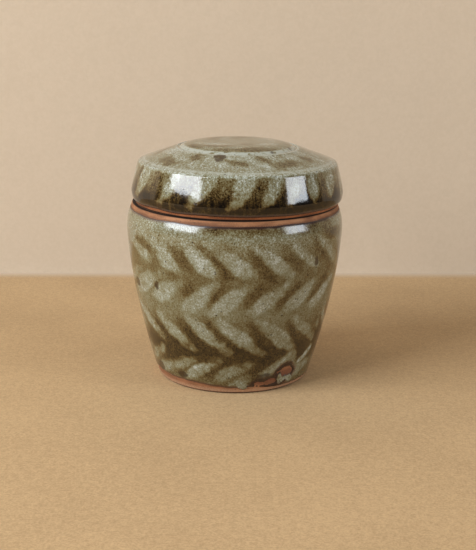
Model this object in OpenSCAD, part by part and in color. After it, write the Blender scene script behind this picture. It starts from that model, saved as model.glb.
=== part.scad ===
/* [Jar] */
// Height of the jar from its base to the ledge that the lid sits on
jar_h = 92.2; // [70:0.2:160]
// Radius of the clay wall at the belly, its widest
belly_r = 55.7; // [54:0.1:80]
// How far below the ledge the belly lies
shoulder_h = 12.7; // [8:0.1:30]
// Radius of the clay wall at the foot
foot_r = 39.4; // [25:0.1:50]
// How fast the wall opens from the foot, 1 for a straight wall and more for a fuller one
belly_curve = 1.55; // [1:0.05:3]
// Thickness of the jar's wall
jar_wall = 5; // [3:0.1:8]
// Thickness of the jar's floor
floor_t = 7; // [4:0.1:10]
// Radius in the corner between the floor and the wall, inside
floor_round = 12; // [6:0.5:18]
// Bevel round the edge of the foot
foot_bevel = 0.8; // [0.2:0.1:2]

/* [Ledge and collar] */
// Outer radius of the ledge
rim_r = 53.4; // [44:0.1:54]
// Width of the ledge, from its outer edge in to the collar
ledge_w = 6; // [5:0.1:10]
// Height of the collar above the ledge
collar_h = 8; // [5:0.1:12]
// Thickness of the collar's wall
collar_wall = 4; // [3:0.1:6]
// Radius on the edges of the ledge and of the collar
edge_round = 0.9; // [0.3:0.1:1.4]

/* [Lid] */
// How far the lid's lower edge lies inside the edge of the ledge
lid_step = 1.1; // [0:0.1:1.5]
// How far the band of the lid swells out past its lower edge
band_swell = 2.1; // [0.5:0.1:4]
// Height of the band's widest line above the ledge
band_wide_z = 6.5; // [4:0.1:10]
// Height of the band above the ledge, up to the bevel
band_h = 21.2; // [17:0.1:40]
// How far the bevel lies inside the band's widest line
band_lean = 3.6; // [0.5:0.1:8]
// How rounded the band is between its widest line and the bevel, 1 for a straight cone
band_curve = 1.2; // [1:0.1:3]
// Radius on the bevel
bevel_round = 1.6; // [0.5:0.1:3]
// Rise of the sloping top, from the bevel to the disc
slope_rise = 6.8; // [3:0.1:15]
// Radius of the low disc in the middle of the top
disc_r = 29.6; // [12:0.1:34]
// Rise of the disc above the slope
disc_rise = 2.6; // [1:0.1:8]
// How flat the disc is, higher for a flatter top and a steeper side
disc_curve = 6; // [2:0.5:12]
// Width of the turned groove round the disc
groove_w = 1.6; // [1:0.1:3]
// Depth of that groove
groove_d = 0.4; // [0.1:0.1:0.8]
// Thickness of the lid's clay
lid_wall = 5; // [3:0.1:7]
// Radius in the lid's inner corner, between the band and the top
lid_corner = 5; // [1:0.5:8]

/* [Fit] */
// Clearance between the collar and the lid, all round
collar_gap = 1.7; // [1.4:0.1:2]
// How far the lid sits to the right of the jar's middle, within that clearance
lid_shift = 1.1; // [0:0.1:1.3]

/* [Glaze] */
// Thickness of the outer glaze
coat = 0.7; // [0.3:0.05:1.2]
// Thickness of the glaze inside
liner = 0.5; // [0.3:0.05:1]
// Length over which a glaze edge thins out
bead = 1.5; // [0.8:0.1:3]
// Height of the bare clay at the foot
foot_bare = 2.6; // [1.5:0.1:10]
// Depth of the bare clay below the ledge
ledge_bare = 2.6; // [1.5:0.1:5]
// Height of the bare clay at the lid's lower edge
lid_bare = 2.2; // [1.5:0.1:3.5]
// Depth of the bare clay below the collar's lip, inside
lip_bare = 3; // [1.5:0.1:5]
// Distance from the collar's lip up to the glaze in the lid
liner_gap = 1; // [0.5:0.1:2]

/* [Hidden] */
$fn = 128;

// Straight stretches along a long curve, a bend and a rounded edge
wall_steps = 22;
bend_steps = 10;
edge_steps = 5;

// Points along a glaze edge as shares of its bead, and along the disc as shares of its radius
bead_at = [0, 0.15, 0.5, 1];
disc_at = [0, 0.4, 0.6, 0.7, 0.8, 0.87, 0.94, 1];

belly_z = jar_h - shoulder_h;
collar_r = rim_r - ledge_w;
mouth_r = collar_r - collar_wall;
collar_top = jar_h + collar_h;

lid_edge_r = rim_r - lid_step;
lid_in_r = collar_r + collar_gap;
band_r = lid_edge_r + band_swell;
bevel_r = band_r - band_lean;
bevel_z = jar_h + band_h;
disc_z = bevel_z + slope_rise;
slope = atan2(slope_rise, bevel_r - disc_r);
ceiling_z = bevel_z - lid_wall;
lid_liner_z = collar_top + liner_gap;
inner_corner = min(lid_corner, ceiling_z - lid_liner_z - bead);

// Evenly spaced numbers from a to b, in n steps
function steps(a, b, n) = [for (i = [0:n]) a + (b - a) * i / n];

// Numbers from a down to b, closer at both ends so that a glaze edge can round off
function coat_steps(a, b, n) =
    concat(
        [for (i = [0:2]) a - bead * bead_at[i]],
        steps(a - bead, b + bead, n),
        [for (i = [2:-1:0]) b + bead * bead_at[i]]
    );

// Points of an arc about a centre, from one angle to another
function arc(centre, r, a0, a1, n = edge_steps) = [for (a = steps(a0, a1, n)) centre + r * [cos(a), sin(a)]];

// Length of an outline up to point i
function run(pts, i) = i == 0 ? 0 : run(pts, i - 1) + norm(pts[i] - pts[i - 1]);

// Unit vector square to an outline at point i, on its left
function left_of(pts, i) =
    let (t = pts[min(i + 1, len(pts) - 1)] - pts[max(i - 1, 0)]) [-t[1], t[0]] / norm(t);

// Thickness of a coat at a distance from its edge, full behind the bead
function bead_t(t, d) = d >= bead ? t : t * sqrt(d / bead);

// An outline moved to its left by a coat, which thins to nothing at an end that isn't on the axis
function coated(pts, t) =
    let (
        n = len(pts) - 1,
        ahead = pts[0][0] == 0 ? bead : 0,
        behind = run(pts, n) + (pts[n][0] == 0 ? bead : 0)
    )
    [for (i = [0:n])
        let (p = pts[i] + bead_t(t, min(ahead + run(pts, i), behind - run(pts, i))) * left_of(pts, i))
        [pts[i][0] == 0 ? 0 : p[0], p[1]]];

// A layer of glaze on the left of an outline
module glaze_on(pts, t) {
    skin = coated(pts, t);
    last = len(pts) - 1;
    from = pts[last][0] == 0 ? last : last - 1;
    to = pts[0][0] == 0 ? 0 : 1;
    rotate_extrude()
        polygon(concat(pts, [for (i = [from:-1:to]) skin[i]]));
}

// Radius of the jar's clay outside and inside, at a height below the ledge
function jar_out(z) =
    z < belly_z
    ? belly_r - (belly_r - foot_r) * pow(1 - z / belly_z, belly_curve)
    : belly_r - (belly_r - rim_r) * pow((z - belly_z) / shoulder_h, 2);
function jar_in(z) =
    z < belly_z
    ? jar_out(z) - jar_wall
    : belly_r - jar_wall - (belly_r - jar_wall - mouth_r) * (1 - cos(180 * (z - belly_z) / shoulder_h)) / 2;

// Clay under the jar's outer glaze, from its upper edge down
jar_skin = [for (z = coat_steps(jar_h - ledge_bare, foot_bare, wall_steps)) [jar_out(z), z]];

// Where the round corner of the floor runs into the wall, which leans out there
wall_lean = atan2(jar_in(floor_t + floor_round) - jar_in(floor_t), floor_round);
corner_z = floor_t + floor_round * (1 - sin(wall_lean));
corner_r = jar_in(corner_z) - floor_round * cos(wall_lean);

// Clay under the jar's inner glaze, from the middle of the floor up to below the lip
jar_hollow = concat(
    [[0, floor_t]],
    arc([corner_r, floor_t + floor_round], floor_round, -90, -wall_lean, bend_steps),
    [for (k = [1:wall_steps]) let (z = corner_z + (belly_z - corner_z) * k / wall_steps) [jar_in(z), z]],
    [for (k = [1:bend_steps]) let (z = belly_z + shoulder_h * k / bend_steps) [jar_in(z), z]],
    [for (i = [3:-1:0]) [mouth_r, collar_top - lip_bare - bead * bead_at[i]]]
);

// Radius of the lid's clay at a height on its band
function lid_out(z) =
    let (wide_z = jar_h + band_wide_z)
    z > wide_z
    ? band_r - band_lean * pow((z - wide_z) / (bevel_z - wide_z), band_curve)
    : band_r - band_swell * pow((wide_z - z) / band_wide_z, 2);

// Height of the disc's clay at a radius
function disc_out(r) = disc_z + disc_rise * (1 - pow(r / disc_r, disc_curve));

// Where the round of the bevel runs into the band, which leans in there
bend_z = bevel_z - bevel_round;
band_tilt = atan2(lid_out(bend_z - bevel_round) - lid_out(bend_z), bevel_round);

// Clay under the lid's outer glaze, from the middle of the top out and down
lid_skin = concat(
    [for (k = disc_at) [disc_r * k, disc_out(disc_r * k)]],
    [[disc_r + groove_w / 2, disc_z - groove_d], [disc_r + groove_w, disc_z]],
    arc([lid_out(bend_z) - bevel_round, bend_z], bevel_round, 90 - slope, band_tilt),
    [for (z = coat_steps(bend_z, jar_h + lid_bare, bend_steps)) [lid_out(z), z]]
);

// Clay under the glaze in the lid, from the inner wall up, over and in to the middle
lid_hollow = concat(
    [for (i = [0:2]) [lid_in_r, lid_liner_z + bead * bead_at[i]]],
    arc([lid_in_r - inner_corner, ceiling_z - inner_corner], inner_corner, 0, 90 - slope),
    [for (i = [len(disc_at) - 1:-1:0]) let (r = disc_r * disc_at[i]) [r, disc_out(r) - lid_wall]]
);

module jar_body() {
    ledge_z = jar_h - edge_round;
    lip_z = collar_top - edge_round;
    color("sienna")
        rotate_extrude()
            polygon(concat(
                jar_hollow,
                arc([mouth_r + edge_round, lip_z], edge_round, 180, 90),
                arc([collar_r - edge_round, lip_z], edge_round, 90, 0),
                [[collar_r, jar_h]],
                arc([jar_out(ledge_z) - edge_round, ledge_z], edge_round, 90, 0),
                jar_skin,
                [[jar_out(foot_bevel), foot_bevel], [foot_r - foot_bevel, 0], [0, 0]]
            ));
}

module jar_glaze() {
    color("darkkhaki") glaze_on(jar_skin, coat);
}

module jar_liner() {
    color("olivedrab") glaze_on(jar_hollow, liner);
}

module lid_body() {
    edge_z = jar_h + edge_round;
    color("peru")
        translate([lid_shift, 0, 0])
            rotate_extrude()
                polygon(concat(
                    lid_skin,
                    arc([lid_out(edge_z) - edge_round, edge_z], edge_round, 0, -90),
                    arc([lid_in_r + edge_round, edge_z], edge_round, -90, -180),
                    lid_hollow
                ));
}

module lid_glaze() {
    color("darkseagreen") translate([lid_shift, 0, 0]) glaze_on(lid_skin, coat);
}

module lid_liner() {
    color("olive") translate([lid_shift, 0, 0]) glaze_on(lid_hollow, liner);
}

jar_body();
jar_glaze();
jar_liner();
lid_body();
lid_glaze();
lid_liner();
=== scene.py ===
import math
import random

import bpy
import numpy as np
from mathutils import Matrix


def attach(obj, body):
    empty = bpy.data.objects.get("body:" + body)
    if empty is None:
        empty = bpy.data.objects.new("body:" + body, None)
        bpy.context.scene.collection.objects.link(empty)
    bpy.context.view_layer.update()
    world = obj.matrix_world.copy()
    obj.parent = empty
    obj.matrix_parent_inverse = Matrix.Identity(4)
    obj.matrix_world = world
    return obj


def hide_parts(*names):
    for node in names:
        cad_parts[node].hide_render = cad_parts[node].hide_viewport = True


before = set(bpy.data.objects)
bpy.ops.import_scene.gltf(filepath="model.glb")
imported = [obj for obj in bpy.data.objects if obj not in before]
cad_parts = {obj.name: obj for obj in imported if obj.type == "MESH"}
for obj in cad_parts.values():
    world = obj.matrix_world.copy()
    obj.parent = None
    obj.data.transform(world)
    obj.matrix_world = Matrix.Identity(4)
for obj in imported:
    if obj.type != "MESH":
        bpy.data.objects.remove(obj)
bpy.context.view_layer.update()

# The jar: stoneware thrown on the wheel, with a flat base, a full shoulder, a ledge that carries the lid
# and a collar standing up inside the ledge. The clay is fired to a toasted orange and stays bare at the
# foot, on the ledge and on the collar, with fine lines from the turning tool.

MM = 0.001
ON_AXIS = 1e-6 * MM
MERGE = 0.002 * MM
JAR_WOBBLE = 0.25 * MM
WOBBLE_LUMP = 60 * MM
SEED = 3

JAR_H = 92.2 * MM
BELLY_R = 55.7 * MM
BELLY_Z = 79.5 * MM
FOOT_R = 39.4 * MM
FOOT_BEVEL = 0.8 * MM
BELLY_CURVE = 1.55
RIM_R = 53.4 * MM
LEDGE_W = 6.0 * MM
COLLAR_TOP = 100.2 * MM
COLLAR_WALL = 4.0 * MM
EDGE_ROUND = 0.9 * MM
JAR_WALL = 5.0 * MM
FLOOR_T = 7.0 * MM
FLOOR_ROUND = 12.0 * MM
COLLAR_R = RIM_R - LEDGE_W
MOUTH_R = COLLAR_R - COLLAR_WALL
SHOULDER_H = JAR_H - BELLY_Z
JAR_COARSE_LOW = 22 * MM
JAR_COARSE_HIGH = 88 * MM


def srgb(red, green, blue):
    """A colour as it is written in a picture, 0 to 255, turned into the linear one that Blender takes."""
    def linear(part):
        part = part / 255
        return part / 12.92 if part <= 0.04045 else ((part + 0.055) / 1.055) ** 2.4
    return (linear(red), linear(green), linear(blue), 1.0)


class Wire:
    """The output of a node. Sums on wires add Math nodes, and node() adds any other kind."""

    def __init__(self, tree, socket=None):
        self.tree = tree
        self.socket = socket

    def node(self, kind, settings=None, inputs=None, out=0):
        """Adds a node: its settings come first, then the numbers or wires of its sockets."""
        made = self.tree.nodes.new(kind)
        settings = dict(settings or {})
        stops = settings.pop("stops", None)
        for name, value in settings.items():
            setattr(made, name, value)
        if stops:
            ramp = made.color_ramp
            while len(ramp.elements) < len(stops):
                ramp.elements.new(1.0)
            for element, (place, colour) in zip(ramp.elements, stops):
                element.position = place
                element.color = colour
        for name, value in (inputs or {}).items():
            if isinstance(value, Wire):
                self.tree.links.new(value.socket, made.inputs[name])
            else:
                made.inputs[name].default_value = value
        return Wire(self.tree, made.outputs[out])

    def into(self, socket):
        """Feeds a socket of a node made elsewhere."""
        self.tree.links.new(self.socket, socket)

    def math(self, operation, *values):
        return self.node("ShaderNodeMath", {"operation": operation}, dict(enumerate(values)))

    def vector(self, operation, *values, out=0):
        return self.node("ShaderNodeVectorMath", {"operation": operation}, dict(enumerate(values)), out)

    def scaled(self, length):
        """A vector times a number or a wire."""
        return self.node("ShaderNodeVectorMath", {"operation": "SCALE"}, {0: self, "Scale": length})

    def __add__(self, other):
        return self.math("ADD", self, other)

    def __radd__(self, other):
        return self.math("ADD", other, self)

    def __sub__(self, other):
        return self.math("SUBTRACT", self, other)

    def __rsub__(self, other):
        return self.math("SUBTRACT", other, self)

    def __mul__(self, other):
        return self.math("MULTIPLY", self, other)

    def __rmul__(self, other):
        return self.math("MULTIPLY", other, self)

    def __truediv__(self, other):
        return self.math("DIVIDE", self, other)

    def least(self, other):
        return self.math("MINIMUM", self, other)

    def most(self, other):
        return self.math("MAXIMUM", self, other)

    def clamp(self):
        return self.node("ShaderNodeClamp", None, {"Value": self})

    def rise(self, low, high):
        """A smooth step from 0 at low to 1 at high; low may be the larger one."""
        return self.node(
            "ShaderNodeMapRange",
            {"interpolation_type": "SMOOTHSTEP"},
            {"Value": self, "From Min": low, "From Max": high},
        )

    def hump(self, middle, width):
        """A smooth hump of height 1 round a value."""
        return self.math("ABSOLUTE", self - middle).rise(width, 0.0)

    def noise(self, size, detail=2.0, roughness=0.5, seed=0.0, out=0, stretch=(1, 1, 1)):
        """Noise on a place in metres, with lumps of about the given size, from 0 to 1."""
        place = self.vector("MULTIPLY", self, tuple(part / size for part in stretch))
        if isinstance(seed, Wire):
            shift = self.node("ShaderNodeCombineXYZ", None, {"X": seed, "Y": seed * 0.37, "Z": seed * 1.7})
        else:
            shift = (seed, seed * 0.37, seed * 1.7)
        place = self.vector("ADD", place, shift)
        return self.node(
            "ShaderNodeTexNoise",
            None,
            {"Vector": place, "Scale": 1.0, "Detail": detail, "Roughness": roughness},
            out,
        )

    def axis(self, which):
        """One of the three numbers of a vector."""
        return self.node("ShaderNodeSeparateXYZ", None, {"Vector": self}, which)

    def blend(self, first, second):
        """Two colours mixed by this wire. A Mix node's colours are its inputs 6 and 7 and its output 2."""
        return self.node("ShaderNodeMix", {"data_type": "RGBA"}, {0: self, 6: first, 7: second}, 2)

    def ramp(self, *stops):
        """Colours laid out over 0 to 1; a stop is a place and a colour or a grey."""
        laid = []
        for place, colour in stops:
            if not isinstance(colour, tuple):
                colour = (colour, colour, colour, 1.0)
            laid.append((place, colour))
        return self.node("ShaderNodeValToRGB", {"stops": laid}, {"Fac": self})


def arc(centre_r, centre_z, radius, start, stop, count):
    """Points of an arc in the outline, angles in degrees."""
    points = []
    for k in range(count + 1):
        angle = math.radians(start + (stop - start) * k / count)
        points.append((centre_r + radius * math.cos(angle), centre_z + radius * math.sin(angle)))
    return points


def spaced(start, stop, step):
    """Numbers from start to stop, about a step apart, with both ends."""
    count = max(1, round(abs(stop - start) / step))
    return [start + (stop - start) * k / count for k in range(count + 1)]


def jar_out(z):
    """Outer radius of the clay at a height."""
    if z < BELLY_Z:
        return BELLY_R - (BELLY_R - FOOT_R) * (1 - z / BELLY_Z) ** BELLY_CURVE
    return BELLY_R - (BELLY_R - RIM_R) * ((z - BELLY_Z) / SHOULDER_H) ** 2


def jar_in(z):
    """Inner radius of the clay at a height below the collar."""
    if z < BELLY_Z:
        return jar_out(z) - JAR_WALL
    swing = (1 - math.cos(math.pi * (z - BELLY_Z) / SHOULDER_H)) / 2
    return BELLY_R - JAR_WALL - (BELLY_R - JAR_WALL - MOUTH_R) * swing


def outline(name, points, under=None):
    """An outline to turn on the wheel, with the air on its left. With points under it, it is a layer whose
    skin is laid on the first points and whose back lies on the second ones."""
    def left(line):
        flat = np.array(line, float)
        along = np.empty_like(flat)
        along[1:-1] = flat[2:] - flat[:-2]
        along[0] = flat[1] - flat[0]
        along[-1] = flat[-1] - flat[-2]
        along /= np.linalg.norm(along, axis=1)[:, None]
        return np.stack([-along[:, 1], along[:, 0]], axis=1)

    line = list(points)
    facing = left(points)
    skin = [1.0] * len(line)
    if under:
        back = list(reversed(under))
        back_facing = left(under)[::-1]
        from_middle = points[-1][0] < ON_AXIS
        line = back + line if from_middle else line + back
        facing = np.concatenate([back_facing, facing] if from_middle else [facing, back_facing])
        skin = [0.0] * len(back) + skin if from_middle else skin + [0.0] * len(back)
    closing = line[0][0] > ON_AXIS
    if closing:
        line.append(line[0])
        facing = np.concatenate([facing, facing[:1]])
        skin.append(skin[0])
    mesh = bpy.data.meshes.new(name)
    mesh.from_pydata([(r, 0.0, z) for r, z in line], [(k, k + 1) for k in range(len(line) - 1)], [])
    mesh.attributes.new("facing", "FLOAT_VECTOR", "POINT")
    mesh.attributes.new("skin", "FLOAT", "POINT")
    for k in range(len(line)):
        inside = 0.0 if line[k][0] < ON_AXIS else facing[k][0]
        mesh.attributes["facing"].data[k].vector = (inside, 0.0, facing[k][1])
        mesh.attributes["skin"].data[k].value = skin[k]
    made = bpy.data.objects.new(name, mesh)
    bpy.context.scene.collection.objects.link(made)
    return made


def wheel(name, sizes, dress):
    """A tree that turns an outline on the wheel. sizes are its named inputs, and dress says how far the
    surface stands off the outline and what it writes on it."""
    tree = bpy.data.node_groups.new(name, "GeometryNodeTree")
    kinds = {
        "Geometry": "NodeSocketGeometry",
        "Material": "NodeSocketMaterial",
        "Segments": "NodeSocketInt",
        "Seed": "NodeSocketInt",
    }
    named = ["Geometry", "Segments", "Middle", "Wobble", "Seed", "Material"] + list(sizes)
    for label in named:
        kind = kinds.get(label, "NodeSocketObject" if label.endswith("Marks") else "NodeSocketFloat")
        tree.interface.new_socket(label, in_out="INPUT", socket_type=kind)
    tree.interface.new_socket("Geometry", in_out="OUTPUT", socket_type="NodeSocketGeometry")
    start = tree.nodes.new("NodeGroupInput")
    given = {socket.name: Wire(tree, socket) for socket in start.outputs if socket.name}
    any_wire = Wire(tree)

    def sampled(kind, field):
        return any_wire.node(
            "GeometryNodeSampleIndex",
            {"data_type": kind},
            {"Geometry": given["Geometry"], "Value": field, "Index": row},
        )

    def written(kind, label):
        return any_wire.node("GeometryNodeInputNamedAttribute", {"data_type": kind}, {"Name": label})

    rows = any_wire.node("GeometryNodeAttributeDomainSize", None, {"Geometry": given["Geometry"]})
    grid = any_wire.node(
        "GeometryNodeMeshGrid",
        None,
        {"Size X": 1.0, "Size Y": 1.0, "Vertices X": given["Segments"] + 1, "Vertices Y": rows},
    )
    index = any_wire.node("GeometryNodeInputIndex")
    row = index.math("MODULO", index, rows)
    turn = (index - row) / rows / given["Segments"] * math.tau
    flat = sampled("FLOAT_VECTOR", any_wire.node("GeometryNodeInputPosition"))
    flat_facing = sampled("FLOAT_VECTOR", written("FLOAT_VECTOR", "facing"))
    skin = sampled("FLOAT", written("FLOAT", "skin"))
    east = turn.math("SINE", turn)
    north = turn.math("COSINE", turn) * -1.0
    outward = any_wire.node("ShaderNodeCombineXYZ", None, {"X": east, "Y": north})

    def turned(wire):
        upright = any_wire.node("ShaderNodeCombineXYZ", None, {"Z": wire.axis(2)})
        return upright.vector("ADD", outward.scaled(wire.axis(0)), upright)

    place = turned(flat)
    facing = turned(flat_facing)
    stand, writing = dress(given, place, skin)
    moved = place.vector("ADD", facing.scaled(stand), place)
    uneven = place.noise(WOBBLE_LUMP, detail=1.0, seed=given["Seed"]) * given["Wobble"] * -1.0
    uneven = uneven * flat.axis(0).rise(0.0, 30 * MM)
    moved = moved.vector("ADD", moved, outward.scaled(uneven))
    aside = any_wire.node("ShaderNodeCombineXYZ", None, {"X": given["Middle"]})
    moved = moved.vector("ADD", moved, aside)
    mesh = grid
    for label, value in writing.items():
        mesh = mesh.node(
            "GeometryNodeStoreNamedAttribute", {"data_type": "FLOAT"},
            {"Geometry": mesh, "Name": label, "Value": value},
        )
    mesh = mesh.node("GeometryNodeSetPosition", None, {"Geometry": mesh, "Position": moved})
    mesh = mesh.node("GeometryNodeMergeByDistance", None, {"Geometry": mesh, "Distance": MERGE})
    mesh = mesh.node("GeometryNodeFlipFaces", None, {"Mesh": mesh})
    mesh = mesh.node("GeometryNodeSetShadeSmooth", None, {"Geometry": mesh})
    mesh = mesh.node("GeometryNodeRealizeInstances", None, {"Geometry": mesh})
    mesh = mesh.node("GeometryNodeSetMaterial", None, {"Geometry": mesh, "Material": given["Material"]})
    finish = tree.nodes.new("NodeGroupOutput")
    mesh.into(finish.inputs[0])
    return tree


def turn(made, tree, body, node, slot, **values):
    """Turns an outline with a tree, keeps the plain mesh and gives it its place in the object."""
    spinning = made.modifiers.new("wheel", "NODES")
    spinning.node_group = tree
    for socket in tree.interface.items_tree:
        label = socket.name.replace(" ", "_").lower()
        if socket.in_out == "INPUT" and label in values:
            spinning[socket.identifier] = values.pop(label)
    if values:
        raise ValueError(f"the tree has no input named {sorted(values)}")
    graph = bpy.context.evaluated_depsgraph_get()
    mesh = bpy.data.meshes.new_from_object(made.evaluated_get(graph), depsgraph=graph)
    made.modifiers.remove(spinning)
    old = made.data
    made.data = mesh
    mesh.name = made.name
    bpy.data.meshes.remove(old)
    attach(made, body)
    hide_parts(node)


def material(name):
    """A new material, its shader and a wire to start from."""
    made = bpy.data.materials.new(name)
    made.use_nodes = True
    shader = made.node_tree.nodes["Principled BSDF"]
    return made, shader, Wire(made.node_tree)


def bare_clay(name, light, dark, flash, middle):
    """Fired clay: toasted in patches and sandy, with dark specks and fine turning lines, scorched above the
    foot and darker along the glaze's upper edge. A painted contact shadow darkens the bottom of the foot and
    painted shade darkens the seam between the ledge and the lid. middle is how far the piece stands aside."""
    made, shader, wire = material(name)
    place = wire.node("ShaderNodeTexCoord", None, None, "Object")
    level = place.vector("MULTIPLY", place.vector("SUBTRACT", place, (middle, 0.0, 0.0)), (1.0, 1.0, 0.0))
    from_axis = level.vector("LENGTH", level, out="Value")
    toast = place.noise(14 * MM, detail=4.0, stretch=(1, 1, 3))
    sand = place.noise(0.45 * MM, detail=3.0, seed=5.0)
    grit = place.noise(1.1 * MM, detail=2.0, seed=9.0)
    lines = place.noise(0.7 * MM, detail=3.0, seed=2.0, stretch=(0.06, 0.06, 1.0))
    colour = toast.rise(0.35, 0.68).blend(srgb(*dark), srgb(*light))
    colour = (toast.rise(0.55, 0.8) * 0.6).blend(colour, srgb(*flash))
    colour = (lines.rise(0.5, 0.72) * 0.45).blend(colour, srgb(*[part * 0.62 for part in dark]))
    colour = (sand.rise(0.42, 0.75) * 0.5).blend(colour, srgb(*[min(255, part * 1.12) for part in light]))
    height = place.axis(2)
    pale_foot = height.rise(3.6 * MM, 1.4 * MM) * sand.rise(0.2, 0.6) * 0.5
    colour = pale_foot.blend(colour, srgb(186, 150, 118))
    scorch = height.hump(8 * MM, 5.5 * MM) * toast.rise(0.3, 0.5) * (0.5 + grit)
    colour = scorch.clamp().blend(colour, srgb(112, 68, 48))
    burnt_edge = height.hump(JAR_H - 2.6 * MM, 1.7 * MM) * sand.rise(0.25, 0.6)
    # Toasted darker along the glaze's upper edge, and a painted contact shadow along the bottom of the foot.
    toast_and_foot_shade = burnt_edge.most(height.rise(1.3 * MM, 0.6 * MM))
    colour = (toast_and_foot_shade * 0.8).blend(colour, srgb(72, 42, 27))
    colour = (grit.rise(0.66, 0.76) * 0.8).blend(colour, srgb(58, 34, 20))
    # Painted shade: the clay is darkened where the lid's edge sits on the ledge, standing in for the shade
    # in that gap.
    painted_seam_shade = height.hump(JAR_H, 1.5 * MM) * from_axis.hump(RIM_R - 1.1 * MM, 1.5 * MM)
    colour = painted_seam_shade.rise(0.1, 0.6).blend(colour, srgb(30, 15, 6))
    colour.into(shader.inputs["Base Color"])
    (0.62 + 0.3 * sand).into(shader.inputs["Roughness"])
    shader.inputs["Specular IOR Level"].default_value = 0.35
    relief = sand * 0.5 + lines * 0.8 + grit * 0.3
    bump = wire.node("ShaderNodeBump", None, {"Strength": 0.6, "Distance": 0.16 * MM, "Height": relief})
    bump.into(shader.inputs["Normal"])
    return made


def turned_lines(given, place, skin):
    """Bare clay stands on its outline but for the shallow lines that the tool leaves."""
    lift = place.axis(2) / given["Line Spacing"]
    ring = lift.math("SINE", lift * math.tau)
    broken = place.noise(9 * MM, detail=2.0, seed=given["Seed"] + 1.0).rise(0.3, 0.7)
    return ring * broken * given["Line Depth"] * -0.5 - given["Line Depth"] * 0.5, {}


wall_lean = math.atan2(jar_in(FLOOR_T + FLOOR_ROUND) - jar_in(FLOOR_T), FLOOR_ROUND)
corner_z = FLOOR_T + FLOOR_ROUND * (1 - math.sin(wall_lean))
corner_r = jar_in(corner_z) - FLOOR_ROUND * math.cos(wall_lean)


def jar_hollow(step):
    """Clay from the middle of the floor, up the inner wall, to the collar's lip."""
    lean = math.degrees(wall_lean)
    line = [(r, FLOOR_T) for r in spaced(0.0, corner_r, step)][:-1]
    line += arc(corner_r, FLOOR_T + FLOOR_ROUND, FLOOR_ROUND, -90, -lean, max(4, round(16 * MM / step)))
    line += [(jar_in(z), z) for z in spaced(corner_z, BELLY_Z, step)[1:]]
    line += [(jar_in(z), z) for z in spaced(BELLY_Z, JAR_H, min(step, 1.2 * MM))[1:]]
    return line


def jar_skin(low, high, step):
    """Clay of the outer wall, from a height down to a lower one."""
    return [(jar_out(z), z) for z in spaced(high, low, step)]


ledge_z = JAR_H - EDGE_ROUND
lip_z = COLLAR_TOP - EDGE_ROUND
jar_line = jar_hollow(6 * MM)
jar_line += [(MOUTH_R, z) for z in spaced(JAR_H, lip_z, 1 * MM)[1:]]
jar_line += arc(MOUTH_R + EDGE_ROUND, lip_z, EDGE_ROUND, 180, 90, 6)[1:]
jar_line += arc(COLLAR_R - EDGE_ROUND, lip_z, EDGE_ROUND, 90, 0, 6)
jar_line += [(COLLAR_R, z) for z in spaced(lip_z, JAR_H, 0.5 * MM)[1:]]
jar_line += [(r, JAR_H) for r in spaced(COLLAR_R, jar_out(ledge_z) - EDGE_ROUND, 0.6 * MM)[1:]]
jar_line += arc(jar_out(ledge_z) - EDGE_ROUND, ledge_z, EDGE_ROUND, 90, 0, 6)[1:]
jar_line += jar_skin(JAR_COARSE_HIGH, ledge_z, 0.4 * MM)[1:]
jar_line += jar_skin(JAR_COARSE_LOW, JAR_COARSE_HIGH, 4 * MM)[1:]
jar_line += jar_skin(FOOT_BEVEL, JAR_COARSE_LOW, 0.4 * MM)[1:]
jar_line += [(r, 0.0) for r in spaced(FOOT_R - FOOT_BEVEL, 0.0, 1.2 * MM)]

clay_wheel = wheel("clay on the wheel", ["Line Depth", "Line Spacing"], turned_lines)
jar_clay = outline("jar_clay", jar_line)
turn(
    jar_clay,
    clay_wheel,
    "jar",
    "jar_body",
    "jar_clay",
    segments=420,
    middle=0.0,
    wobble=JAR_WOBBLE,
    seed=SEED,
    line_depth=0.05 * MM,
    line_spacing=1.3 * MM,
    material=bare_clay(
        "toasted stoneware",
        light=(156, 106, 70),
        dark=(116, 74, 46),
        flash=(178, 134, 98),
        middle=0.0,
    ),
)

# The jar's outer glaze: a grey-green ash glaze over brown, laid on from just above the foot to just below
# the ledge. The potter has wiped it in four rows with a fingertip, each row slanting the other way, so the
# strokes stand pale between darker ridges. It draws back from the foot in an uneven edge.

COAT = 0.7 * MM
FINGER = 5.0 * MM
STROKE_STRAY = 4 * MM
EDGE_STRAY = 2.6 * MM
IRON_STRAY = 2.8 * MM
EDGE_TUCK = 0.3 * MM
BACK_TUCK = 0.45 * MM
EDGE_SCALE = 8 * MM
JAR_GLAZE_LOW = 0.9 * MM
JAR_GLAZE_HIGH = 90.6 * MM


def finger_marks(name, strokes, surface):
    """Paths of a fingertip as lines in the air. The nearer a path runs to the surface, the wider it marks
    it. A stroke is a bearing from the front in degrees and a place along the surface in mm for its narrow
    end, the same for its blunt end, and half its greatest width in mm. surface gives the radius and the
    height of such a place, and 0 where it faces out or 1 where it faces up."""
    points = []
    edges = []
    for bearing_a, along_a, bearing_b, along_b, half_width in strokes:
        count = 12
        for k in range(count + 1):
            t = k / count
            radius, height, top = surface((along_a + (along_b - along_a) * t) * MM)
            press = 1.15 * math.sin(math.pi * t ** 1.35) ** 1.1 - 0.15
            stand = math.sqrt(FINGER ** 2 - (half_width * MM) ** 2 * press)
            radius += stand * (1 - top)
            height += stand * top
            bearing = math.radians(bearing_a + (bearing_b - bearing_a) * t)
            points.append((radius * math.sin(bearing), -radius * math.cos(bearing), height))
            if k:
                edges.append((len(points) - 2, len(points) - 1))
    mesh = bpy.data.meshes.new(name)
    mesh.from_pydata(points, edges, [])
    made = bpy.data.objects.new(name, mesh)
    bpy.context.scene.collection.objects.link(made)
    return made


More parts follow.
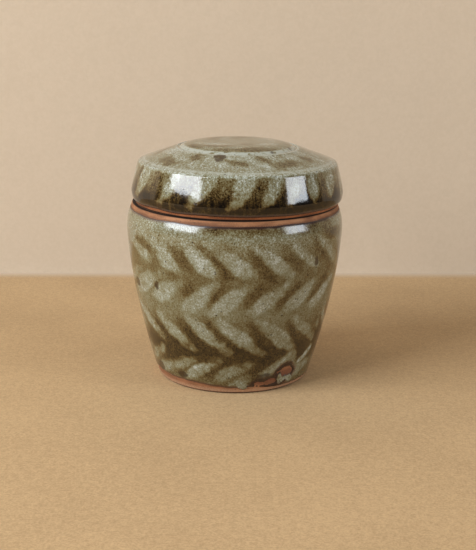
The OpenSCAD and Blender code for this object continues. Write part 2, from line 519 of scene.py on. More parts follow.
def row_behind(seed, first, last, pitch, slant, narrow, blunt, half_width):
    """Strokes of a row from one bearing to another, a pitch apart, as a hand repeats them. narrow and blunt
    are where their two ends lie along the surface."""
    draw = random.Random(seed)
    strokes = []
    count = round((last - first) / pitch)
    for k in range(count):
        bearing = first + (k + 0.5) * (last - first) / count + draw.uniform(-2.5, 2.5)
        half = slant / 2 * draw.uniform(0.8, 1.15)
        drop = draw.uniform(-1.5, 1.5)
        width = half_width * draw.uniform(0.7, 1.15)
        end = blunt + drop + draw.uniform(-1, 1)
        strokes.append((bearing - half, narrow + drop, bearing + half, end, width))
    return strokes


def beside(strokes, shift, half_width):
    """Ridges that the strokes of a row have pushed up on their right."""
    return [(a + shift, u, b + shift, v, half_width) for a, u, b, v, _ in strokes]


def glaze_dress(given, place, skin):
    """How thick a glaze lies, and what shows in it: the wiped strokes, the ridges beside them, its edges,
    its drips and the iron that breaks through."""
    seed = given["Seed"]
    sway = place.noise(6 * MM, detail=5.0, roughness=0.62, seed=seed + 8.0, out="Color")
    sway = sway.vector("SUBTRACT", sway, (0.5, 0.5, 0.5))

    def near(label, stray):
        """How near a place lies to a set of paths, once it has strayed by up to about half of stray."""
        spot = place.vector("ADD", place, sway.scaled(stray))
        lines = spot.node("GeometryNodeObjectInfo", None, {"Object": given[label]}, "Geometry")
        return spot.node(
            "GeometryNodeProximity",
            {"target_element": "EDGES"},
            {"Geometry": lines, "Sample Position": spot},
            "Distance",
        )

    finger = given["Finger"]
    wipe = near("Stroke Marks", STROKE_STRAY).rise(finger * 1.2, finger * 0.84)
    ridge = near("Ridge Marks", STROKE_STRAY).rise(finger * 1.22, finger * 0.86)
    bare = near("Bare Marks", EDGE_STRAY) - finger
    drip = finger - near("Drip Marks", EDGE_STRAY)
    worn = near("Worn Marks", 0.0).rise(finger * 1.03, finger * 0.97)
    iron = near("Iron Marks", IRON_STRAY).rise(finger * 1.04, finger * 0.95)
    wander = place.noise(16 * MM, detail=4.0, seed=seed + 18.0, stretch=(1, 1, 0.2)) - 0.5
    wander = wander * given["Edge Wander"]
    askew = place.axis(0) * given["Edge Tilt"]
    below = given["Upper Edge"] + wander * 0.5 - place.axis(2)
    above = place.axis(2) - given["Lower Edge"] + wander * 2.0 + askew
    edge = above.least(bare).most(drip * 10).least(below)
    cover = edge.rise(-0.4 * MM, 0.6 * MM)
    bead = edge.hump(1.3 * MM, 1.2 * MM) * below.rise(3 * MM, 6 * MM)
    lie = place.noise(5 * MM, detail=2.0, seed=seed + 28.0)
    thick = 0.62 + 0.03 * lie - 0.05 * wipe + 0.03 * ridge + 0.14 * bead
    thick = thick + 0.2 * drip.rise(-0.2 * MM, 0.3 * MM)
    thick = given["Coat"] * thick * (0.2 + 0.8 * below.rise(-1.2 * MM, 5.5 * MM))
    stand = (thick + EDGE_TUCK) * cover - EDGE_TUCK
    stand = stand * skin + (skin - 1.0) * BACK_TUCK
    wipe = wipe.most(drip.rise(-0.3 * MM, 0.1 * MM))
    return stand, {"wipe": wipe, "ridge": ridge, "edge": edge / EDGE_SCALE, "iron": iron, "worn": worn}


glaze_wheel = wheel(
    "glaze on the wheel",
    [
        "Coat", "Finger", "Lower Edge", "Upper Edge", "Edge Wander", "Edge Tilt",
        "Stroke Marks", "Ridge Marks", "Bare Marks", "Drip Marks", "Iron Marks", "Worn Marks",
    ],
    glaze_dress,
)


def ash_glaze(name, zones, top, gloss, waver, runs):
    """Ash glaze over brown: pale where it is wiped thin, olive to nearly black where it pools, finely
    mottled, with iron specks, and reddish where it runs out over the clay. zones are how pale it lies at
    heights from 0 to the top, waver is how far they stray and runs how much it has run downward."""
    made, shader, wire = material(name)
    place = wire.node("ShaderNodeTexCoord", None, None, "Object")

    def read(label):
        return wire.node("ShaderNodeAttribute", {"attribute_name": label}, None, "Fac")

    wipe = read("wipe")
    ridge = read("ridge")
    edge = read("edge") * (EDGE_SCALE / MM)
    iron = read("iron")
    worn = read("worn")
    soft = place.noise(9 * MM, detail=3.0, seed=1.0)
    cloud = place.noise(2.6 * MM, detail=3.0, roughness=0.6, seed=2.0)
    grain = place.noise(0.8 * MM, detail=3.0, roughness=0.8, seed=3.0)
    fleck = place.noise(0.4 * MM, detail=1.0, seed=4.0)
    level = place.vector("MULTIPLY", place, (1.0, 1.0, 0.0))
    bearing = level.vector("NORMALIZE", level).scaled(50 * MM)
    down = bearing.vector("ADD", bearing, place.scaled(0.12))
    run = down.noise(1.7 * MM, detail=4.0, roughness=0.65, seed=7.0)
    zone = (place.axis(2) + (soft - 0.5) * waver + (run - 0.5) * waver * runs) / top
    zone = zone.ramp(*zones).axis(0)
    tone = zone + ridge * (0.15 - zone) * (0.25 + cloud * 0.75)
    tone = tone + wipe * (0.83 - tone) * (0.75 + 0.8 * (cloud - 0.5) + 0.5 * (soft - 0.5))
    sandy = (1.15 + 0.6 * place.axis(2).rise(68 * MM, 82 * MM)) * (0.4 + 0.6 * zone.rise(0.0, 0.35))
    tone = tone + (soft - 0.5) * 0.3 + (cloud - 0.5) * 0.22 + (grain - 0.5) * sandy + (run - 0.5) * runs
    # Paler where the glaze is worn thin; on the lid's turned ring round the disc this is partly a painted
    # highlight.
    tone = tone + worn * (0.92 - tone) * cloud.rise(0.3, 0.5)
    colour = tone.ramp(
        (0.0, srgb(12, 6, 2)),
        (0.15, srgb(44, 31, 11)),
        (0.30, srgb(77, 59, 28)),
        (0.45, srgb(97, 83, 52)),
        (0.58, srgb(110, 102, 74)),
        (0.72, srgb(124, 120, 96)),
        (0.86, srgb(141, 140, 122)),
        (1.0, srgb(176, 178, 168)),
    )
    rust = place.axis(2).rise(20 * MM, 70 * MM).blend(srgb(88, 56, 40), srgb(92, 74, 66))
    colour = (edge.rise(2.0, 0.5) * (0.5 + cloud * 0.6)).clamp().blend(colour, rust)
    colour = (edge.rise(0.9 + ridge * 0.9, 0.3 + ridge * 0.6) * 0.9).blend(colour, srgb(42, 21, 13))
    colour = (fleck.rise(0.70, 0.76) * wipe.rise(0.2, 0.8) * 0.6).blend(colour, srgb(206, 204, 190))
    specks = wire.node("ShaderNodeTexVoronoi", None, {"Vector": place, "Scale": 330.0, "Randomness": 1.0})
    speck = specks.rise(0.2, 0.1) * place.noise(6 * MM, seed=8.0).rise(0.48, 0.6)
    colour = (speck * 0.85).blend(colour, srgb(38, 24, 14))
    broken = iron + (grain - 0.5) * 1.1 + (cloud - 0.5) * 1.8
    colour = (broken.rise(0.2, 1.2) * iron.rise(0.0, 0.5) * 0.88).blend(colour, srgb(46, 29, 14))
    colour.into(shader.inputs["Base Color"])
    (gloss + 0.1 * grain + 0.25 * edge.rise(1.4, 0.0)).into(shader.inputs["Roughness"])
    shader.inputs["IOR"].default_value = 1.52
    relief = grain * 0.3 + place.noise(2.0 * MM, detail=2.0, seed=12.0) + speck * -0.6
    bump = wire.node("ShaderNodeBump", None, {"Strength": 0.5, "Distance": 0.05 * MM, "Height": relief})
    bump.into(shader.inputs["Normal"])
    return made


def on_jar(z):
    return jar_out(z), z, 0


strokes = [
    (-92, 78, -74, 67, 3.0), (-70, 76.5, -48, 69, 2.6), (-48, 80, -29, 64.5, 4.0),
    (-27, 80, -8, 64.5, 4.2), (-10, 80, 10, 64.5, 4.2), (10, 81, 30.5, 63.5, 3.4),
    (32, 79, 50, 65, 1.9), (38, 74, 48, 67, 2.3), (51, 79, 71, 65, 2.7),
    (-60, 61, -78, 54, 2.3), (-43, 63, -68, 49.5, 4.8), (-28, 60, -49, 48.5, 4.3),
    (-8, 60.5, -28, 45, 3.9), (9.5, 60.5, -11.5, 45, 4.0), (31, 59.5, 9, 45, 3.9),
    (50, 59.5, 28, 45, 3.8), (69, 58, 48, 45.5, 3.4),
    (-68, 27, -86, 39, 2.2), (-46, 26, -70, 40.5, 2.9), (-25, 24, -49, 40.5, 3.2),
    (-3, 23.5, -26.5, 41, 3.5), (18, 21.5, -8, 40.5, 3.7), (13.5, 40.5, 40, 23, 4.1),
    (60, 25, 36.5, 40, 2.5), (63, 31, 61, 39, 1.4),
    (-51, 20, -72, 10.5, 2.2), (-40, 12.5, -58, 7, 2.4), (-27, 18, -43, 10.5, 2.3),
    (-9.5, 17.5, -33, 7.5, 3.3), (11.5, 16.5, -10.5, 8.5, 2.8), (9.5, 7.5, 0, 4.5, 2.2),
    (41.5, 19.5, 20.5, 8.5, 2.5), (62, 10, 41, 8, 3.7), (42, 16, 46, 9, 1.8), (61, 18.5, 50, 13, 1.2),
]
hidden_1 = row_behind(41, 73, 262, 21, 19, 78.5, 65.5, 3.5)
hidden_2 = row_behind(42, 71, 289, 21, -20, 60, 46, 3.6)
hidden_3 = row_behind(43, 66, 285, 21, -22, 24.5, 40, 3.2)
hidden_4 = row_behind(44, 72, 292, 22, -20, 17, 8.5, 2.7)
ridges = [
    (-60, 79, -48, 73, 2.7), (-34, 78, -22, 66.5, 2.4), (-17, 79, -1.5, 64, 2.3),
    (7.5, 78, 20.5, 62.5, 2.4), (24, 79.5, 36, 67, 2.0), (45, 85, 46.5, 78, 1.3), (47, 78, 61, 65, 1.9),
    (48, 85, 72, 80.5, 2.6),
    (-6, 59, -12.5, 49.5, 2.0), (16, 59.5, 5.5, 48.5, 2.1), (36, 58.5, 24.5, 47, 2.3),
    (59, 58.5, 46, 49, 2.5), (-22, 58.5, -26.5, 53.5, 1.8),
    (-17, 40.5, -2.5, 26, 1.6), (10, 39, 17.5, 26.5, 2.1), (-50, 34, -36, 25, 2.8),
    (-31, 37, -19, 27.5, 2.2), (34, 38, 41, 25.5, 2.1), (61, 41, 71, 25, 3.0),
    (-26, 18, -38, 9, 1.7), (-6.5, 18, -17, 9, 1.8), (10, 17, 19, 8, 3.1), (30.4, 3.4, 32.5, 10, 1.5),
    (31.6, 9.5, 42, 14.5, 1.6), (10.8, 3.4, 17, 9.5, 1.2), (-14, 89, 30, 88.8, 1.3),
    (34, 89, 60, 88.6, 1.6),
]
ridges += beside(hidden_1 + hidden_2 + hidden_3, 8, 2.1)
strokes += hidden_1 + hidden_2 + hidden_3 + hidden_4
jar_strokes = finger_marks("jar_strokes", strokes, on_jar)
jar_ridges = finger_marks("jar_ridges", ridges, on_jar)
bare_places = [
    (17, 2.9, 31, 4.4, 1.5), (34, 8.6, 43.5, 8.2, 1.9), (42, 6.5, 36, 4.2, 1.5),
    (36, 10.5, 41, 10.5, 1.2), (150, 3.4, 170, 4.4, 2.0), (222, 4, 230, 6, 1.8),
]
jar_bare = finger_marks("jar_bare", bare_places, on_jar)
drips = [
    (34, 7.6, 35.6, 4, 1.3), (35, 3.8, 38, 4.4, 0.9), (39.5, 4.8, 44.5, 4.2, 1.0),
    (1.5, 4.6, 9.5, 3.0, 1.4), (240, 4, 248, 3, 1.3),
]
jar_drips = finger_marks("jar_drips", drips, on_jar)
iron_places = [
    (-46.8, 56, -45, 54.6, 2.2), (-69, 52.6, -65, 53.6, 2.1), (47, 72, 47.6, 67.6, 1.3),
    (-70, 7, -58, 7.2, 2.1), (-42, 7.8, -34.5, 7.2, 1.9), (15, 7.4, 29, 7.8, 2.0),
    (45.4, 84.5, 46, 81, 1.2), (120, 60, 121, 59.6, 1.9), (163, 33, 164, 32.4, 1.7),
    (205, 71, 206, 70.2, 2.0), (247, 52, 248, 51.6, 1.6),
]
jar_iron = finger_marks("jar_iron", iron_places, on_jar)
worn_places = [(61, 18.6, 50, 13, 0.65), (130, 50, 137, 46, 0.7)]
jar_worn = finger_marks("jar_worn", worn_places, on_jar)
jar_glaze = outline(
    "jar_outer_glaze",
    jar_skin(JAR_GLAZE_LOW, JAR_GLAZE_HIGH, 0.62 * MM),
    jar_skin(JAR_GLAZE_LOW, JAR_GLAZE_HIGH, 5 * MM),
)
turn(
    jar_glaze,
    glaze_wheel,
    "jar",
    "jar_glaze",
    "jar_outer_glaze",
    segments=560,
    middle=0.0,
    wobble=JAR_WOBBLE,
    seed=SEED,
    coat=COAT,
    finger=FINGER,
    lower_edge=3.9 * MM,
    upper_edge=90.0 * MM,
    edge_wander=2.4 * MM,
    edge_tilt=0.042,
    stroke_marks=jar_strokes,
    ridge_marks=jar_ridges,
    bare_marks=jar_bare,
    drip_marks=jar_drips,
    iron_marks=jar_iron,
    worn_marks=jar_worn,
    material=ash_glaze(
        "ash glaze on the jar",
        zones=[(0.0, 0.46), (0.12, 0.4), (0.19, 0.18), (0.28, 0.17), (0.38, 0.4), (0.46, 0.56), (0.54, 0.56),
               (0.61, 0.46), (0.70, 0.44), (0.80, 0.46), (0.88, 0.64), (1.0, 0.68)],
        top=92 * MM,
        gloss=0.1,
        waver=7 * MM,
        runs=0.12,
    ),
)
for guide in (jar_strokes, jar_ridges, jar_bare, jar_drips, jar_iron, jar_worn):
    bpy.data.objects.remove(guide)

# The glaze inside the jar: the same ash glaze poured in and out again, so it lies smooth from the floor to
# just below the lip and gathers, darker and glassier, in the round of the floor.

LINER = 0.5 * MM
RING_PITCH = 6 * MM
RING_DEPTH = 0.12 * MM
JAR_LINER_HIGH = 97.6 * MM
FAR_BELOW = -50 * MM


def poured_dress(given, place, skin):
    """A poured glaze follows the throwing rings and thins out at its upper edge."""
    seed = given["Seed"]
    height = place.axis(2)
    rings = height / RING_PITCH + place.noise(30 * MM, seed=seed + 3.0)
    ring = rings.math("SINE", rings * math.tau) * RING_DEPTH
    wander = (place.noise(14 * MM, detail=3.0, seed=seed + 19.0, stretch=(1, 1, 0.2)) - 0.5) * 1.2 * MM
    edge = (given["Upper Edge"] + wander - height).least(height + wander - given["Lower Edge"])
    cover = edge.rise(-0.3 * MM, 0.9 * MM)
    stand = (given["Coat"] * 0.7 + ring * edge.rise(2 * MM, 8 * MM) + EDGE_TUCK) * cover - EDGE_TUCK
    stand = stand * skin + (skin - 1.0) * BACK_TUCK
    return stand, {"edge": edge / EDGE_SCALE}


poured_wheel = wheel("poured glaze on the wheel", ["Coat", "Lower Edge", "Upper Edge"], poured_dress)
inner_line = jar_hollow(1.4 * MM)
inner_line += [(MOUTH_R, z) for z in spaced(JAR_H, JAR_LINER_HIGH, 0.6 * MM)[1:]]
inner_back = jar_hollow(6 * MM) + [(MOUTH_R, JAR_LINER_HIGH)]
jar_liner = outline("jar_inner_glaze", inner_line, inner_back)
turn(
    jar_liner,
    poured_wheel,
    "jar",
    "jar_liner",
    "jar_inner_glaze",
    segments=360,
    middle=0.0,
    wobble=JAR_WOBBLE,
    seed=SEED,
    coat=LINER,
    lower_edge=FAR_BELOW,
    upper_edge=96.6 * MM,
    material=ash_glaze(
        "ash glaze inside the jar",
        zones=[(0.0, 0.1), (0.07, 0.14), (0.2, 0.34), (0.6, 0.42), (0.9, 0.5), (1.0, 0.55)],
        top=97 * MM,
        gloss=0.18,
        waver=7 * MM,
        runs=0.0,
    ),
)

# The lid: a thrown cap that drops over the collar and rests on the ledge. Its band leans in to a crisp
# bevel, the top slopes up to a low disc with a turned groove round it, and its lower edge is bare clay.

LID_MIDDLE = 1.1 * MM
LID_WOBBLE = 0.2 * MM
LID_STEP = 1.1 * MM
BAND_SWELL = 2.1 * MM
BAND_WIDE_Z = 6.5 * MM
BAND_H = 21.2 * MM
BAND_LEAN = 3.6 * MM
BAND_CURVE = 1.2
BEVEL_ROUND = 1.6 * MM
SLOPE_RISE = 6.8 * MM
DISC_R = 29.6 * MM
DISC_RISE = 2.6 * MM
DISC_CURVE = 6
GROOVE_W = 1.6 * MM
GROOVE_D = 0.4 * MM
LID_WALL = 5.0 * MM
LID_CORNER = 5.0 * MM
COLLAR_GAP = 1.7 * MM
LINER_GAP = 1.0 * MM
LID_COARSE_LOW = 98 * MM
LID_IN_R = COLLAR_R + COLLAR_GAP
LID_LINER_LOW = COLLAR_TOP + LINER_GAP
BAND_R = RIM_R - LID_STEP + BAND_SWELL
BEVEL_R = BAND_R - BAND_LEAN
BEVEL_Z = JAR_H + BAND_H
DISC_Z = BEVEL_Z + SLOPE_RISE
SLOPE = math.degrees(math.atan2(SLOPE_RISE, BEVEL_R - DISC_R))
WIDE_Z = JAR_H + BAND_WIDE_Z
BEND_Z = BEVEL_Z - BEVEL_ROUND
CEILING_Z = BEVEL_Z - LID_WALL


def lid_out(z):
    """Outer radius of the lid's clay at a height on its band."""
    if z > WIDE_Z:
        return BAND_R - BAND_LEAN * ((z - WIDE_Z) / (BEVEL_Z - WIDE_Z)) ** BAND_CURVE
    return BAND_R - BAND_SWELL * ((WIDE_Z - z) / BAND_WIDE_Z) ** 2


def disc_out(r):
    """Height of the disc's clay at a radius."""
    return DISC_Z + DISC_RISE * (1 - (r / DISC_R) ** DISC_CURVE)


band_tilt = math.degrees(math.atan2(lid_out(BEND_Z - BEVEL_ROUND) - lid_out(BEND_Z), BEVEL_ROUND))


def lid_skin(low, step):
    """Clay from the middle of the top, over the disc, down the slope and the band to a height."""
    line = [(r, disc_out(r)) for r in spaced(0.0, DISC_R, step)]
    for share in (0.25, 0.5, 0.75, 1.0):
        line.append((DISC_R + GROOVE_W * share, DISC_Z - GROOVE_D * math.sin(math.pi * share)))
    turn_r = lid_out(BEND_Z) - BEVEL_ROUND
    bend = arc(turn_r, BEND_Z, BEVEL_ROUND, 90 - SLOPE, band_tilt, 7)
    near_r, near_z = line[-1]
    far_r, far_z = bend[0]
    climb = (far_z - near_z) / (far_r - near_r)
    line += [(r, near_z + climb * (r - near_r)) for r in spaced(near_r, far_r, step)[1:-1]]
    line += bend
    line += [(lid_out(z), z) for z in spaced(BEND_Z, low, step)[1:]]
    return line


def lid_hollow(step):
    """Clay from the lid's inner wall up, round its corner and over to the middle."""
    corner_edge = CEILING_Z - LID_CORNER
    line = [(LID_IN_R, z) for z in spaced(LID_LINER_LOW, corner_edge, step)]
    line += arc(LID_IN_R - LID_CORNER, corner_edge, LID_CORNER, 0, 90 - SLOPE, 8)[1:]
    near_r, near_z = line[-1]
    far_z = disc_out(DISC_R) - LID_WALL
    climb = (far_z - near_z) / (DISC_R - near_r)
    line += [(r, near_z + climb * (r - near_r)) for r in spaced(near_r, DISC_R, step)[1:]]
    line += [(r, disc_out(r) - LID_WALL) for r in spaced(DISC_R, 0.0, step)[1:]]
    return line


edge_z = JAR_H + EDGE_ROUND
lid_line = lid_skin(LID_COARSE_LOW, 4 * MM)
lid_line += [(lid_out(z), z) for z in spaced(LID_COARSE_LOW, edge_z, 0.4 * MM)[1:]]
lid_line += arc(lid_out(edge_z) - EDGE_ROUND, edge_z, EDGE_ROUND, 0, -90, 6)[1:]
lid_line += arc(LID_IN_R + EDGE_ROUND, edge_z, EDGE_ROUND, -90, -180, 6)
lid_line += [(LID_IN_R, z) for z in spaced(edge_z, LID_LINER_LOW, 0.8 * MM)[1:-1]]
lid_line += lid_hollow(4 * MM)
lid_clay = outline("lid_clay", lid_line)
turn(
    lid_clay,
    clay_wheel,
    "lid",
    "lid_body",
    "lid_clay",
    segments=420,
    middle=LID_MIDDLE,
    wobble=LID_WOBBLE,
    seed=SEED,
    line_depth=0.04 * MM,
    line_spacing=1.1 * MM,
    material=bare_clay(
        "toasted stoneware of the lid",
        light=(158, 98, 60),
        dark=(112, 66, 38),
        flash=(184, 118, 76),
        middle=LID_MIDDLE,
    ),
)

# The lid's outer glaze: the same ash glaze, wiped in short slanting strokes round the band and on the
# slope. It runs down and gathers in a dark glassy roll above the bare edge, and breaks pale where the bevel
# wears it thin. The pale line round the disc is partly glaze worn thin on the turned ring and partly a
# painted highlight.

LID_GLAZE_LOW = 93.3 * MM
SLOPE_LIFT = 0.24 * MM
FAR_ABOVE = 1.0


def on_band(z):
    return lid_out(z), z, 0


def on_top(r):
    if r < DISC_R:
        return r, disc_out(r), 1
    return r, DISC_Z - (r - DISC_R) * SLOPE_RISE / (BEVEL_R - DISC_R), 1


band_strokes = [
    (-89, 99.5, -79, 112, 3.5), (-69.5, 98, -57, 114, 4.3), (-44, 98.5, -34, 113, 2.9),
    (-25.5, 99, -13, 114, 3.8), (-3.5, 99.5, 8.5, 115, 4.4), (12.3, 97.8, 23, 114, 2.9),
    (28, 101, 34, 112, 2.6), (43.5, 100.5, 45, 114, 3.2), (56, 99, 64, 113, 4.2),
    (74, 99, 82, 111, 3.4),
]
hidden_band = row_behind(51, 84, 266, 19.5, 10, 99, 113, 3.6)
band_ridges = [
    (-51, 99, -47.5, 112, 2.6), (-37, 97, -33.5, 105.5, 4.0), (-16, 96, -9.5, 109, 3.0),
    (3, 99, 15, 113.5, 2.1), (23.5, 97.5, 26.5, 108, 2.2), (50.5, 100, 53, 112, 2.0),
    (-72, 101, -67, 112, 2.0),
]
band_ridges += beside(hidden_band, 8, 2.4)
top_strokes = [
    (-50, 32.5, -86, 38, 3.2), (-30, 43.5, -62, 35, 2.3), (1, 44.5, -28, 35, 2.1),
    (12, 34.5, -9, 33.5, 3.2), (1, 31.5, 23.5, 45, 2.3), (57, 28, 75, 46, 2.8),
    (44, 33.5, 52.5, 43.5, 2.0), (24, 33, 34, 36, 1.8),
]
hidden_top = row_behind(52, 90, 270, 26, 17, 34, 43.5, 2.4)
top_strokes += [
    (-75, 21, -20, 12, 3.0), (-24, 22, 12, 19, 2.4), (30, 14, 80, 21, 2.8), (100, 18, 150, 22, 2.4),
]
top_ridges = [
    (-62, 44, -44, 42.5, 3.0), (-49.5, 47.5, -47, 39, 2.2), (-43, 42, -26, 33, 2.0),
    (-8, 38.5, 3, 41, 2.4), (13, 30, 28, 46, 2.2), (24, 43, 44, 42, 2.4), (-17, 37, -12.5, 29.5, 1.8),
    (35, 34, 40, 28.5, 1.8), (48, 42.5, 66, 40.5, 2.4), (-24, 27, -6, 26.2, 1.2),
    (0, 26.4, 16, 26.6, 1.2), (22, 27, 40, 27, 1.3), (-70, 26, -50, 26.5, 1.3), (-50, 22, -12, 17, 2.6),
    (14, 10, 60, 20, 2.4), (-100, 12, -150, 20, 2.6), (10, 24, 34, 23, 1.8), (150, 20, 190, 12, 2.6),
]
top_ridges += beside(hidden_top, 11, 2.0)


def over_top(r):
    """Just above the top, for marks that are narrow on its slope."""
    radius, height, top = on_top(r)
    return radius, height + SLOPE_LIFT, top


def both(name, on_the_band, on_the_top, top=on_top):
    """Paths over the band and over the top of the lid as one set."""
    parts = [finger_marks(name, on_the_band, on_band), finger_marks(name, on_the_top, top)]
    points = [vertex.co[:] for part in parts for vertex in part.data.vertices]
    first = len(parts[0].data.vertices)
    edges = [tuple(edge.vertices) for edge in parts[0].data.edges]
    edges += [(edge.vertices[0] + first, edge.vertices[1] + first) for edge in parts[1].data.edges]
    mesh = bpy.data.meshes.new(name)
    mesh.from_pydata(points, edges, [])
    parts[0].data = mesh
    bpy.data.objects.remove(parts[1])
    return parts[0]


lid_strokes = both("lid_strokes", band_strokes + hidden_band, top_strokes + hidden_top)
lid_ridges = both("lid_ridges", band_ridges, top_ridges)
lid_bare = finger_marks("lid_bare", [(100, 93, 106, 93.2, 1.0), (231, 93, 236, 93.2, 0.8)], on_band)
lid_drips = finger_marks("lid_drips", [(190, 94.2, 193, 92.8, 1.0), (226, 94, 229, 93, 0.9)], on_band)
lid_iron = both(
    "lid_iron",
    [(-29, 104.4, -28, 104.2, 1.3), (-9, 104.6, -8, 104, 1.4), (-44.5, 96.5, -43.5, 95.5, 1.5)],
    [(-14.9, 29.2, -14.1, 38.0, 0.6), (-16.8, 31.0, -12.6, 34.6, 0.5), (-17.0, 34.0, -12.4, 31.4, 0.5),
     (36, 30.6, 38, 30.0, 1.2), (66, 30.0, 68, 30.6, 1.2)],
    over_top,
)
# The pale ring round the disc: glaze worn thin on the turned ring, and partly a painted highlight along it.
ring = [(bearing, 30.9, bearing + 22, 30.8, 0.7) for bearing in range(-176, 180, 17)]
bevel = [(bearing, 49.9, bearing + 22, 49.9, 0.75) for bearing in range(-172, 180, 11)]
lid_worn = finger_marks("lid_worn", ring + bevel, on_top)
lid_glaze = outline(
    "lid_outer_glaze",
    lid_skin(LID_GLAZE_LOW, 0.6 * MM),
    lid_skin(LID_GLAZE_LOW, 4 * MM),
)
turn(
    lid_glaze,
    glaze_wheel,
    "lid",
    "lid_glaze",
    "lid_outer_glaze",
    segments=560,
    middle=LID_MIDDLE,
    wobble=LID_WOBBLE,
    seed=SEED,
    coat=COAT,
    finger=FINGER,
    lower_edge=94.1 * MM,
    upper_edge=FAR_ABOVE,
    edge_wander=0.7 * MM,
    edge_tilt=0.0,
    stroke_marks=lid_strokes,
    ridge_marks=lid_ridges,
    bare_marks=lid_bare,
    drip_marks=lid_drips,
    iron_marks=lid_iron,
    worn_marks=lid_worn,
    material=ash_glaze(
        "ash glaze on the lid",
        zones=[(0.0, 0.12), (0.775, 0.1), (0.786, 0.0), (0.805, 0.0), (0.838, 0.25), (0.87, 0.4),
               (0.905, 0.5), (0.915, 0.86), (0.924, 0.70), (0.966, 0.68), (0.972, 0.68), (0.978, 0.7),
               (0.982, 0.56), (0.99, 0.62), (1.0, 0.66)],
        top=124 * MM,
        gloss=0.03,
        waver=1.6 * MM,
        runs=0.5,
    ),
)
for guide in (lid_strokes, lid_ridges, lid_bare, lid_drips, lid_iron, lid_worn):
    bpy.data.objects.remove(guide)

# The glaze inside the lid: the same ash glaze, poured in and out again like the jar's. It covers the ceiling
# and the inner wall down to just above the collar.

lid_liner = outline("lid_inner_glaze", lid_hollow(1.4 * MM), lid_hollow(4 * MM))
turn(
    lid_liner,
    poured_wheel,
    "lid",
    "lid_liner",
    "lid_inner_glaze",
    segments=320,
    middle=LID_MIDDLE,
    wobble=LID_WOBBLE,
    seed=SEED,
    coat=LINER,
    lower_edge=101.9 * MM,
    upper_edge=FAR_ABOVE,
    material=ash_glaze(
        "ash glaze inside the lid",
        zones=[(0.0, 0.3), (0.8, 0.3), (0.9, 0.46), (1.0, 0.5)],
        top=118 * MM,
        gloss=0.18,
        waver=7 * MM,
        runs=0.0,
    ),
)

# The floor and the backdrop: a sheet of brown paper board with a pale wall of paper behind it, its foot a
# little askew to the camera. Seen from behind, the wall lets the view through to the jar's back.

WALL_Y = 204 * MM
WALL_TURN = math.radians(2.8)
SHEET_REACH = 1.6


def paper(name, light, dark, grain_size, far=None):
    """Matt paper with a fine fibre grain. far is the colour that its last few mm before the wall take."""
    made, shader, wire = material(name)
    place = wire.node("ShaderNodeTexCoord", None, None, "Object")
    fibre = place.noise(grain_size, detail=3.0, roughness=0.7)
    felt = place.noise(grain_size * 2.6, detail=3.0, roughness=0.7, seed=4.0)
    blot = place.noise(60 * MM, detail=2.0, seed=3.0)
    colour = (fibre * 0.55 + felt * 0.3 + blot * 0.15).rise(0.34, 0.66).blend(srgb(*dark), srgb(*light))
    if far:
        from_camera = place.axis(1) - place.axis(0) * math.tan(WALL_TURN)
        colour = from_camera.rise(WALL_Y - 16 * MM, WALL_Y + 2 * MM).blend(colour, srgb(*far))
    colour.into(shader.inputs["Base Color"])
    shader.inputs["Roughness"].default_value = 0.9
    shader.inputs["Specular IOR Level"].default_value = 0.2
    return made


def sheet(name, corners, finish):
    mesh = bpy.data.meshes.new(name)
    mesh.from_pydata(corners, [], [tuple(range(len(corners)))])
    mesh.materials.append(finish)
    made = bpy.data.objects.new(name, mesh)
    bpy.context.scene.collection.objects.link(made)


left = -SHEET_REACH
right = SHEET_REACH
left_y = WALL_Y + left * math.tan(WALL_TURN)
right_y = WALL_Y + right * math.tan(WALL_TURN)
sheet(
    "floor",
    [(left, -SHEET_REACH, 0.0), (right, -SHEET_REACH, 0.0), (right, right_y, 0.0), (left, left_y, 0.0)],
    paper("brown board", (191, 158, 116), (163, 133, 96), 1.1 * MM, far=(192, 172, 149)),
)
wall_paper = paper("pale paper", (194, 174, 150), (189, 169, 145), 3 * MM)
sheet(
    "backdrop",
    [(left, left_y, 0.0), (right, right_y, 0.0), (right, right_y, SHEET_REACH), (left, left_y, SHEET_REACH)],
    wall_paper,
)
wire = Wire(wall_paper.node_tree)
from_behind = wire.node("ShaderNodeNewGeometry", None, None, "Backfacing") * wire.node(
    "ShaderNodeLightPath", None, None, "Is Camera Ray"
)
clear = wire.node("ShaderNodeBsdfTransparent")
paint = Wire(wall_paper.node_tree, wall_paper.node_tree.nodes["Principled BSDF"].outputs[0])
shown = wire.node("ShaderNodeMixShader", None, {0: from_behind, 1: paint, 2: clear})
shown.into(wall_paper.node_tree.nodes["Material Output"].inputs[0])

# The light: two upright soft boxes in front of the jar, a broad one on the left and a narrower one on the
# right, over an even soft light from all round. The room behind the camera is dark, so the glaze mirrors
# little of it.

FILL = 0.43
FILL_SEEN = 0.07
LAMP_COLOUR = (0.85, 0.925, 1.0)
LAMP_AIM_Z = 100 * MM


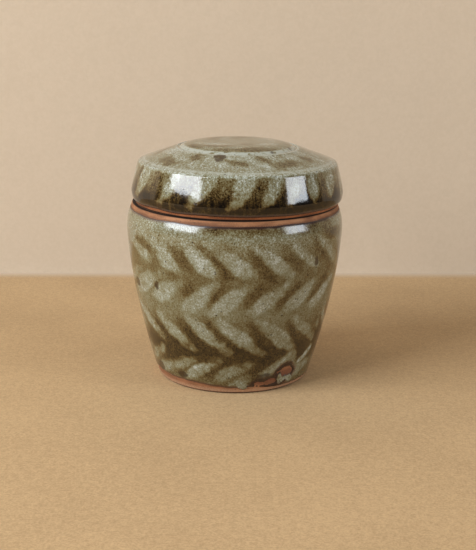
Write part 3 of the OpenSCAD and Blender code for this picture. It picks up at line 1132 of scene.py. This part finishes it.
def softbox(name, bearing, low, high, spread, distance, brightness):
    """A soft box seen from the jar at a bearing from the front, between two elevations, in degrees."""
    middle = math.radians((low + high) / 2)
    lamp = bpy.data.lights.new(name, "AREA")
    lamp.shape = "RECTANGLE"
    lamp.size = 2 * distance * math.tan(math.radians(spread / 2))
    lamp.size_y = 2 * distance * math.tan(math.radians((high - low) / 2))
    lamp.color = LAMP_COLOUR
    lamp.energy = brightness * math.pi * lamp.size * lamp.size_y
    made = bpy.data.objects.new(name, lamp)
    bpy.context.scene.collection.objects.link(made)
    side = math.radians(bearing)
    level = distance * math.cos(middle)
    made.location = (
        level * math.sin(side),
        -level * math.cos(side),
        LAMP_AIM_Z + distance * math.sin(middle),
    )
    made.rotation_euler = (math.pi / 2 - middle, 0.0, side)


softbox("left_softbox", bearing=-59, low=12.5, high=40, spread=37, distance=1.6, brightness=15.0)
softbox("right_softbox", bearing=68, low=6.5, high=24, spread=24, distance=1.4, brightness=10.5)
world = bpy.data.worlds.new("studio")
world.use_nodes = True
sky = world.node_tree.nodes["Background"]
sky.inputs["Color"].default_value = (0.94, 0.97, 1.0, 1.0)
rays = Wire(world.node_tree).node("ShaderNodeLightPath", None, None, "Is Glossy Ray")
(FILL - rays * (FILL - FILL_SEEN)).into(sky.inputs["Strength"])
bpy.context.scene.world = world

# The camera: the photograph's view, through a long lens from a little above and held very slightly turned.
# The picture shows colours as they are, without a film look.

FOCAL_PX = 1150
PICTURE_H = 550
CAMERA_X = 2.1 * MM
CAMERA_DISTANCE = 609 * MM
CAMERA_PITCH = math.radians(14.7)
CAMERA_AIM_Z = 52.05 * MM
CAMERA_ROLL = 0.0135
lens = bpy.data.cameras.new("camera")
lens.sensor_width = 36.0
lens.lens = FOCAL_PX * lens.sensor_width / PICTURE_H
lens.clip_start = 0.01
camera = bpy.data.objects.new("camera", lens)
bpy.context.scene.collection.objects.link(camera)
camera.rotation_mode = "XYZ"
camera.location = (
    CAMERA_X,
    -CAMERA_DISTANCE * math.cos(CAMERA_PITCH),
    CAMERA_AIM_Z + CAMERA_DISTANCE * math.sin(CAMERA_PITCH),
)
camera.rotation_euler = (math.pi / 2 - CAMERA_PITCH, 0.0, 0.0)
bpy.context.view_layer.update()
camera.matrix_world = camera.matrix_world @ Matrix.Rotation(CAMERA_ROLL, 4, "Z")
bpy.context.scene.camera = camera
bpy.context.scene.view_settings.view_transform = "Standard"
